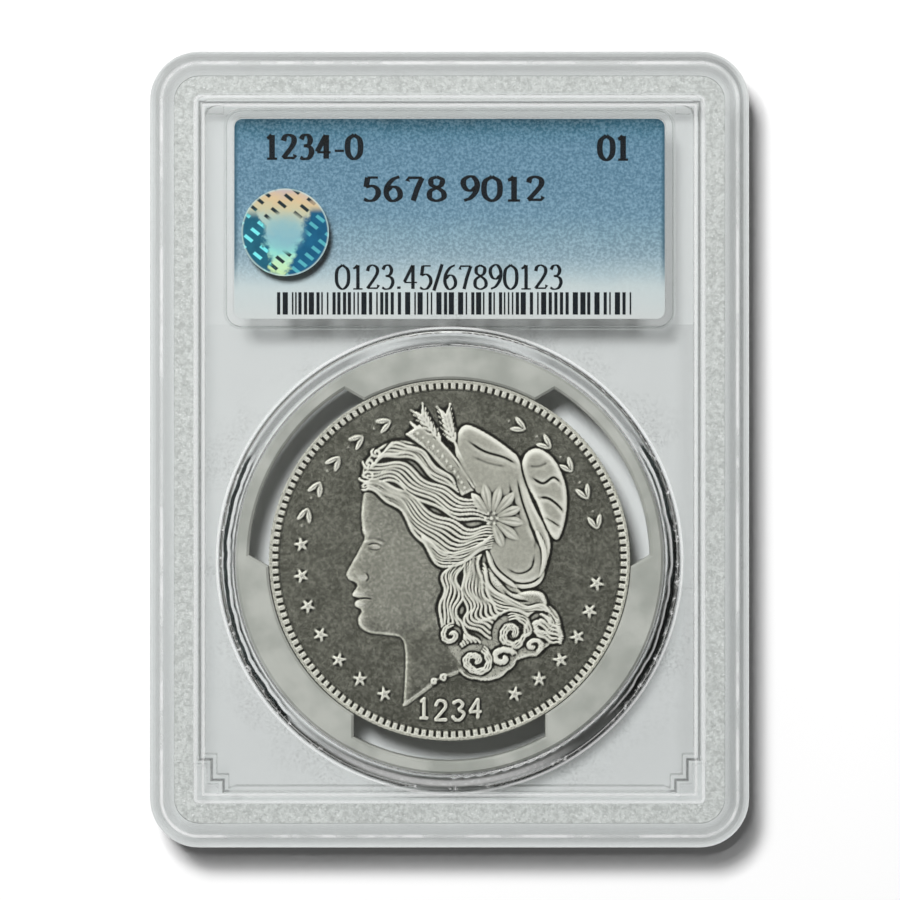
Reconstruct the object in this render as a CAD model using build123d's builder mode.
"""Graded coin slab: two clear half-shells, welded at the edge, that hold a coin in a pronged ring and a card above it.

Millimetres. The slab lies on its back: +Z points out of the front face, +Y towards the card, and the origin is at
the middle of the back face.
"""

import os
from math import cos, radians, sin

from build123d import *

# Coin
coin_diameter = 38.1
coin_thickness = 2.4
coin_rim_width = 0.4
coin_rim_height = 0.28
reed_count = 188
reed_depth = 0.1
denticle_count = 148
denticle_length = 0.65
star_radius = 0.85
star_notch_radius = 0.36
star_inset = 3.35
star_height = 0.14
left_star_angles = [174, 186, 198, 210, 222, 233, 244]
right_star_angles = [351, 340, 329, 318, 307, 296]
leaf_pair_angles = [26, 38, 50, 130, 142, 154]
leaf_length = 2.1
leaf_width = 0.8
leaf_height = 0.12
leaf_lean = 28
face_height = 14.2
face_relief = 0.12
hair_relief = 0.18
cap_relief = 0.23
wreath_leaf_count = 34
wreath_inset = 5.6
wreath_gap = 12
numeral_height = 9.0
numeral_width = 2.2

# Ring that holds the coin
coin_clearance = 0.05
prong_reach = 2.05
ring_band = 1.35
gap_width = 20.2
gap_centres = [30, 150, 270]
ring_face_clearance = 0.05
ring_well_clearance = 0.1
ring_chamfer = 0.25

# Shell plates, from the back face to the front
back_recess = 0.9
plate_thickness = 1.5
coin_face_gap = 0.4
plateau_height = 0.4
lip_height = 0.5
lip_width = 0.65
stacking_clearance = 0.1
parting_gap = 0.1

# Shell outline
corner_radius = 5.2
edge_round = 1.2
parting_chamfer = 0.12
rim_side = 5.3
rim_top = 5.1
rim_bottom = 6.0
window_round = 1.3
step_round = 0.15
step_width = 1.25
lower_step_rise = 1.2
upper_step_rise = 3.35
notch_depth = 0.3
notch_run = 0.7
cavity_inset = 0.4
lip_round = 0.12

# Well ring in both shells
well_wall = 1.6
well_side_gap = 2.0
well_round = 0.55

# Card and its pocket
card_width = 45.3
card_height = 21.05
card_thickness = 0.3
card_corner = 0.9
card_face_gap = 0.08
card_side_clearance = 0.15
pocket_wall = 0.55
pocket_side_gap = 2.85
pocket_top_gap = 1.25
pocket_well_gap = 0.5
support_wall = 0.7
support_clearance = 0.2
support_card_clearance = 0.05
corner_block_width = 1.6
corner_block_gap = 0.45
corner_block_drop = 1.0

# Weld joint in the frame
weld_inset = 2.5
weld_width = 2.1
weld_side_clearance = 0.05
groove_depth = 1.15
bead_height = 0.24
bead_clearance = 0.03

# Foils
sticker_diameter = 9.2
sticker_thickness = 0.12
sticker_card_inset = 5.4
sticker_card_rise = 9.05
seal_size = 13.0
seal_thickness = 0.1
seal_corner = 1.5

# Levels
back_plate_inner = back_recess + plate_thickness
cavity_depth = coin_thickness + 2 * coin_face_gap
front_plate_inner = back_plate_inner + cavity_depth
front_plate_outer = front_plate_inner + plate_thickness
plateau_level = front_plate_outer + plateau_height
lip_level = plateau_level + lip_height
parting_level = back_plate_inner + cavity_depth / 2
back_parting = parting_level - parting_gap / 2
front_parting = parting_level + parting_gap / 2
groove_level = front_parting + groove_depth
tongue_level = groove_level - bead_height - 2 * bead_clearance
card_level = front_plate_inner - card_face_gap - card_thickness
support_level = card_level - support_card_clearance

# Radii about the coin's axis
coin_radius = coin_diameter / 2
prong_radius = coin_radius + coin_clearance
gap_radius = prong_radius + prong_reach
ring_radius = gap_radius + ring_band
well_inner_radius = ring_radius + ring_well_clearance
well_radius = well_inner_radius + well_wall

# Overall size, as the sum of what lies across it
pocket_half_width = card_width / 2 + card_side_clearance + pocket_wall
pocket_height = card_height + 2 * (card_side_clearance + pocket_wall)
window_half_width = max(well_radius + well_side_gap, pocket_half_width + pocket_side_gap)
window_height = 2 * well_radius + pocket_well_gap + pocket_height + pocket_top_gap
slab_width = 2 * (window_half_width + rim_side)
slab_height = rim_bottom + window_height + rim_top
window_bottom = rim_bottom - slab_height / 2
window_top = window_bottom + window_height
coin_y = window_bottom + well_radius
card_y = coin_y + well_radius + pocket_well_gap + pocket_height / 2
coin_axis = Axis((0, coin_y, 0), (0, 0, 1))
well_plane = Plane((0, coin_y, 0), x_dir=(1, 0, 0), z_dir=(0, -1, 0))


def polar(radius, degrees):
    """The point at this radius and angle about the origin."""
    return (radius * cos(radians(degrees)), radius * sin(radians(degrees)))


def window_face(grow):
    """The window's outline with its stepped lower corners, set out by grow all round."""
    half = window_half_width + grow
    low = window_bottom - grow
    right = [
        (half - 2 * step_width - notch_run, low),
        (half - 2 * step_width, low - notch_depth),
        (half - 2 * step_width, low + lower_step_rise),
        (half - step_width, low + lower_step_rise),
        (half - step_width, low + upper_step_rise),
        (half + notch_depth, low + upper_step_rise),
        (half, low + upper_step_rise + notch_run),
        (half, window_top + grow),
    ]
    left = [(-x, y) for x, y in reversed(right)]
    with BuildSketch(mode=Mode.PRIVATE) as window:
        with BuildLine():
            Polyline(*right, *left, close=True)
        make_face()
        top_corners = window.vertices().group_by(Axis.Y)[-1]
        fillet(top_corners, window_round)
        fillet(window.vertices().filter_by(lambda v: v.Y < window_bottom + 2 * upper_step_rise), step_round)
    return window.sketch


def pocket_face(grow):
    """The card pocket's outline, with grow between it and the card."""
    width = card_width + 2 * grow
    height = card_height + 2 * grow
    with BuildSketch(mode=Mode.PRIVATE) as pocket:
        with Locations((0, card_y)):
            RectangleRounded(width, height, card_corner + grow)
    return pocket.sketch


def weld_ring_face(clearance):
    """The ring of the weld joint in the frame, narrowed by clearance on both sides."""
    outer = weld_inset + clearance
    inner = weld_inset + weld_width - clearance
    with BuildSketch(mode=Mode.PRIVATE) as ring:
        RectangleRounded(slab_width - 2 * outer, slab_height - 2 * outer, corner_radius - outer)
        RectangleRounded(
            slab_width - 2 * inner, slab_height - 2 * inner, max(corner_radius - inner, step_round), mode=Mode.SUBTRACT
        )
    return ring.sketch


def well_section(plate_level, free_level):
    """The well ring's section at its radius, rounded at its free end."""
    with BuildSketch(mode=Mode.PRIVATE) as section:
        with Locations((well_inner_radius + well_wall / 2, (plate_level + free_level) / 2)):
            Rectangle(well_wall, abs(plate_level - free_level))
        ends = section.vertices().group_by(Axis.Y)
        fillet(ends[0] if free_level < plate_level else ends[-1], well_round)
    return section.sketch


def gap_faces():
    """The straight-sided gaps between the prongs, about the coin's axis."""
    with BuildSketch(mode=Mode.PRIVATE) as gaps:
        for centre in gap_centres:
            with Locations(Location((*polar(gap_radius / 2, centre), 0), (0, 0, centre))):
                Rectangle(gap_radius, gap_width)
        Circle(gap_radius, mode=Mode.INTERSECT)
    return gaps.sketch


# Front shell
with BuildPart() as front_shell:
    with BuildSketch(Plane.XY.offset(front_parting)):
        RectangleRounded(slab_width, slab_height, corner_radius)
    extrude(amount=plateau_level - front_parting)
    fillet(front_shell.faces().sort_by(Axis.Z)[-1].edges(), edge_round)
    chamfer(front_shell.faces().sort_by(Axis.Z)[0].edges(), parting_chamfer)
    with BuildSketch(Plane.XY.offset(plateau_level)):
        add(window_face(lip_width))
    extrude(amount=lip_height)
    with BuildSketch(Plane.XY.offset(front_plate_outer)):
        add(window_face(0))
    extrude(amount=lip_level - front_plate_outer, mode=Mode.SUBTRACT)
    fillet(front_shell.faces().sort_by(Axis.Z)[-1].edges(), lip_round)
    with BuildSketch(Plane.XY.offset(front_parting)):
        add(window_face(-cavity_inset))
    extrude(amount=front_plate_inner - front_parting, mode=Mode.SUBTRACT)
    with BuildSketch(Plane.XY.offset(front_parting)):
        add(weld_ring_face(0))
    extrude(amount=groove_depth, mode=Mode.SUBTRACT)
    with BuildSketch(well_plane):
        add(well_section(front_plate_inner, front_parting))
    revolve(axis=coin_axis)
    with BuildSketch(Plane.XY.offset(front_parting)):
        add(pocket_face(card_side_clearance + pocket_wall))
        add(pocket_face(card_side_clearance), mode=Mode.SUBTRACT)
    extrude(amount=front_plate_inner - front_parting)
    with BuildSketch(Plane.XY.offset(front_parting)):
        block_x = pocket_half_width + corner_block_gap + corner_block_width / 2
        with Locations((block_x, window_top), (-block_x, window_top)):
            Rectangle(corner_block_width, cavity_inset + corner_block_drop, align=(Align.CENTER, Align.MAX))
    extrude(amount=front_plate_inner - front_parting)
front_shell.part.label = "front_shell"

# Back shell
with BuildPart() as back_shell:
    with BuildSketch():
        RectangleRounded(slab_width, slab_height, corner_radius)
    extrude(amount=back_parting)
    fillet(back_shell.faces().sort_by(Axis.Z)[0].edges(), edge_round)
    chamfer(back_shell.faces().sort_by(Axis.Z)[-1].edges(), parting_chamfer)
    with BuildSketch():
        add(window_face(lip_width + stacking_clearance))
    extrude(amount=back_recess, mode=Mode.SUBTRACT)
    with BuildSketch(Plane.XY.offset(back_plate_inner)):
        add(window_face(-cavity_inset))
    extrude(amount=back_parting - back_plate_inner, mode=Mode.SUBTRACT)
    with BuildSketch(Plane.XY.offset(back_parting)):
        add(weld_ring_face(weld_side_clearance))
    extrude(amount=tongue_level - back_parting)
    with BuildSketch(well_plane):
        add(well_section(back_plate_inner, back_parting))
    revolve(axis=coin_axis)
    with BuildSketch(Plane.XY.offset(back_plate_inner)):
        add(pocket_face(card_side_clearance - support_clearance))
        add(pocket_face(card_side_clearance - support_clearance - support_wall), mode=Mode.SUBTRACT)
    extrude(amount=support_level - back_plate_inner)
back_shell.part.label = "back_shell"

# Weld bead
with BuildPart() as weld_bead:
    with BuildSketch(Plane.XY.offset(tongue_level + bead_clearance)):
        add(weld_ring_face(weld_side_clearance))
    extrude(amount=bead_height)
weld_bead.part.label = "weld_bead"

# Ring that holds the coin, with a gap between each pair of prongs
with BuildPart() as coin_gasket:
    with BuildSketch(Plane.XY.offset(back_plate_inner + ring_face_clearance)):
        with Locations((0, coin_y)):
            Circle(ring_radius)
            Circle(prong_radius, mode=Mode.SUBTRACT)
            add(gap_faces(), mode=Mode.SUBTRACT)
    extrude(amount=cavity_depth - 2 * ring_face_clearance)
    chamfer(coin_gasket.faces().filter_by(Axis.Z).edges(), ring_chamfer)
coin_gasket.part.label = "coin_gasket"


def toothed_circle(outer, inner, count):
    """A closed outline that steps between two radii, with count teeth pointing inwards."""
    pitch = 360 / count
    points = []
    for tooth in range(count):
        start = tooth * pitch
        points.append(polar(outer, start + 0.1 * pitch))
        points.append(polar(outer, start + 0.45 * pitch))
        points.append(polar(inner, start + 0.6 * pitch))
        points.append(polar(inner, start + 0.95 * pitch))
    return points


def reeded_circle(radius, depth, count):
    """A closed outline with count V-shaped grooves in a circle."""
    turns = [180 * index / count for index in range(2 * count)]
    return [polar(radius - depth * (index % 2), turn) for index, turn in enumerate(turns)]


def star_face():
    """A five-pointed star about the origin."""
    radii = [star_radius, star_notch_radius] * 5
    with BuildSketch(mode=Mode.PRIVATE) as star:
        with BuildLine():
            Polyline(*[polar(radius, 90 + 36 * index) for index, radius in enumerate(radii)], close=True)
        make_face()
    return star.sketch


def head_points(points):
    """Points given in shares of the face's height, from the head's centre, in the coin's own frame."""
    return [(x * face_height, y * face_height) for x, y in points]


coin_bottom = parting_level - coin_thickness / 2
coin_top = parting_level + coin_thickness / 2
front_field = coin_top - coin_rim_height
back_field = coin_bottom + coin_rim_height
denticle_root = coin_radius - coin_rim_width
denticle_tip = denticle_root - denticle_length
star_circle = coin_radius - star_inset
wreath_start = 270 + wreath_gap
coin_front = Plane((0, coin_y, front_field))
coin_back = Plane((0, coin_y, back_field), x_dir=(-1, 0, 0), z_dir=(0, 0, -1))

# Head in profile: the front of the face and neck, then the hair behind it, then the cap
face_front = [
    (-0.48, 0.55), (-0.57, 0.40), (-0.60, 0.24), (-0.585, 0.17), (-0.66, 0.03), (-0.72, -0.08), (-0.67, -0.115),
    (-0.615, -0.12), (-0.645, -0.20), (-0.615, -0.235), (-0.63, -0.285), (-0.58, -0.335), (-0.60, -0.40),
    (-0.56, -0.455), (-0.47, -0.47), (-0.36, -0.50), (-0.32, -0.60), (-0.33, -0.78), (-0.38, -0.98),
]
neck_cut = [(-0.16, -1.02), (0.10, -0.96), (0.34, -0.84), (0.62, 0.55)]
hair_edge = [
    (-0.46, 0.62), (-0.28, 0.80), (0.05, 0.88), (0.42, 0.78), (0.70, 0.50), (0.80, 0.15), (0.76, -0.25),
    (0.80, -0.55), (0.66, -0.80), (0.48, -0.82), (0.36, -0.66), (0.22, -0.45), (0.02, -0.30), (-0.12, -0.10),
    (-0.16, 0.10), (-0.30, 0.28), (-0.46, 0.40),
]
cap_edge = [
    (-0.10, 0.86), (0.15, 1.02), (0.48, 0.98), (0.78, 0.74), (0.90, 0.38), (0.84, 0.08), (0.60, 0.10), (0.38, 0.30),
    (0.16, 0.58),
]

with BuildPart() as coin:
    with BuildSketch(coin_back):
        Circle(denticle_root + coin_rim_width / 2)
    extrude(amount=back_field - front_field)
    with BuildSketch(coin_front):
        for angle in left_star_angles + right_star_angles:
            with Locations(Location((*polar(star_circle, angle), 0), (0, 0, angle - 90))):
                add(star_face())
    extrude(amount=star_height)
    with BuildSketch(coin_front):
        for angle in leaf_pair_angles:
            for lean in (-leaf_lean, leaf_lean):
                with Locations(Location((*polar(star_circle, angle), 0), (0, 0, angle + 90 + lean))):
                    Ellipse(leaf_length / 2, leaf_width / 2)
    extrude(amount=leaf_height)
    with BuildSketch(coin_front):
        with BuildLine():
            Spline(*head_points(face_front))
            Polyline(*head_points([face_front[-1], *neck_cut, face_front[0]]))
        make_face()
    extrude(amount=face_relief)
    for edge, height in ((hair_edge, hair_relief), (cap_edge, cap_relief)):
        with BuildSketch(coin_front):
            with BuildLine():
                Spline(*head_points(edge), periodic=True)
            make_face()
        extrude(amount=height)
    with BuildSketch(coin_back):
        for index in range(wreath_leaf_count):
            angle = wreath_start + index * (360 - 2 * wreath_gap) / (wreath_leaf_count - 1)
            lean = leaf_lean if index % 2 else -leaf_lean
            with Locations(Location((*polar(coin_radius - wreath_inset, angle), 0), (0, 0, angle + 90 + lean))):
                Ellipse(leaf_length / 2, leaf_width / 2)
        Rectangle(numeral_width, numeral_height)
    extrude(amount=leaf_height)
    with BuildSketch(Plane((0, coin_y, coin_bottom))):
        with BuildLine():
            Polyline(*reeded_circle(coin_radius, reed_depth, reed_count), close=True)
        make_face()
        with BuildLine():
            Polyline(*toothed_circle(denticle_root, denticle_tip, denticle_count), close=True)
        make_face(mode=Mode.SUBTRACT)
    extrude(amount=coin_thickness)
coin.part.label = "coin"

# Printed card
with BuildPart() as label_card:
    with BuildSketch(Plane.XY.offset(card_level)):
        add(pocket_face(0))
    extrude(amount=card_thickness)
label_card.part.label = "label_card"

# Round foil sticker on the front plate, over the card's lower left
with BuildPart() as security_sticker:
    with BuildSketch(Plane.XY.offset(front_plate_outer)):
        with Locations((sticker_card_inset - card_width / 2, card_y - card_height / 2 + sticker_card_rise)):
            Circle(sticker_diameter / 2)
    extrude(amount=sticker_thickness)
security_sticker.part.label = "security_sticker"

# Foil patch on the back of the card
with BuildPart() as back_seal:
    with BuildSketch(Plane.XY.offset(card_level - seal_thickness)):
        with Locations((0, card_y)):
            RectangleRounded(seal_size, seal_size, seal_corner)
    extrude(amount=seal_thickness)
back_seal.part.label = "back_seal"

os.makedirs("parts", exist_ok=True)
export_step(front_shell.part, "parts/front_shell.step")
export_step(back_shell.part, "parts/back_shell.step")
export_step(weld_bead.part, "parts/weld_bead.step")
export_step(coin_gasket.part, "parts/coin_gasket.step")
export_step(coin.part, "parts/coin.step")
export_step(label_card.part, "parts/label_card.step")
export_step(security_sticker.part, "parts/security_sticker.step")
export_step(back_seal.part, "parts/back_seal.step")
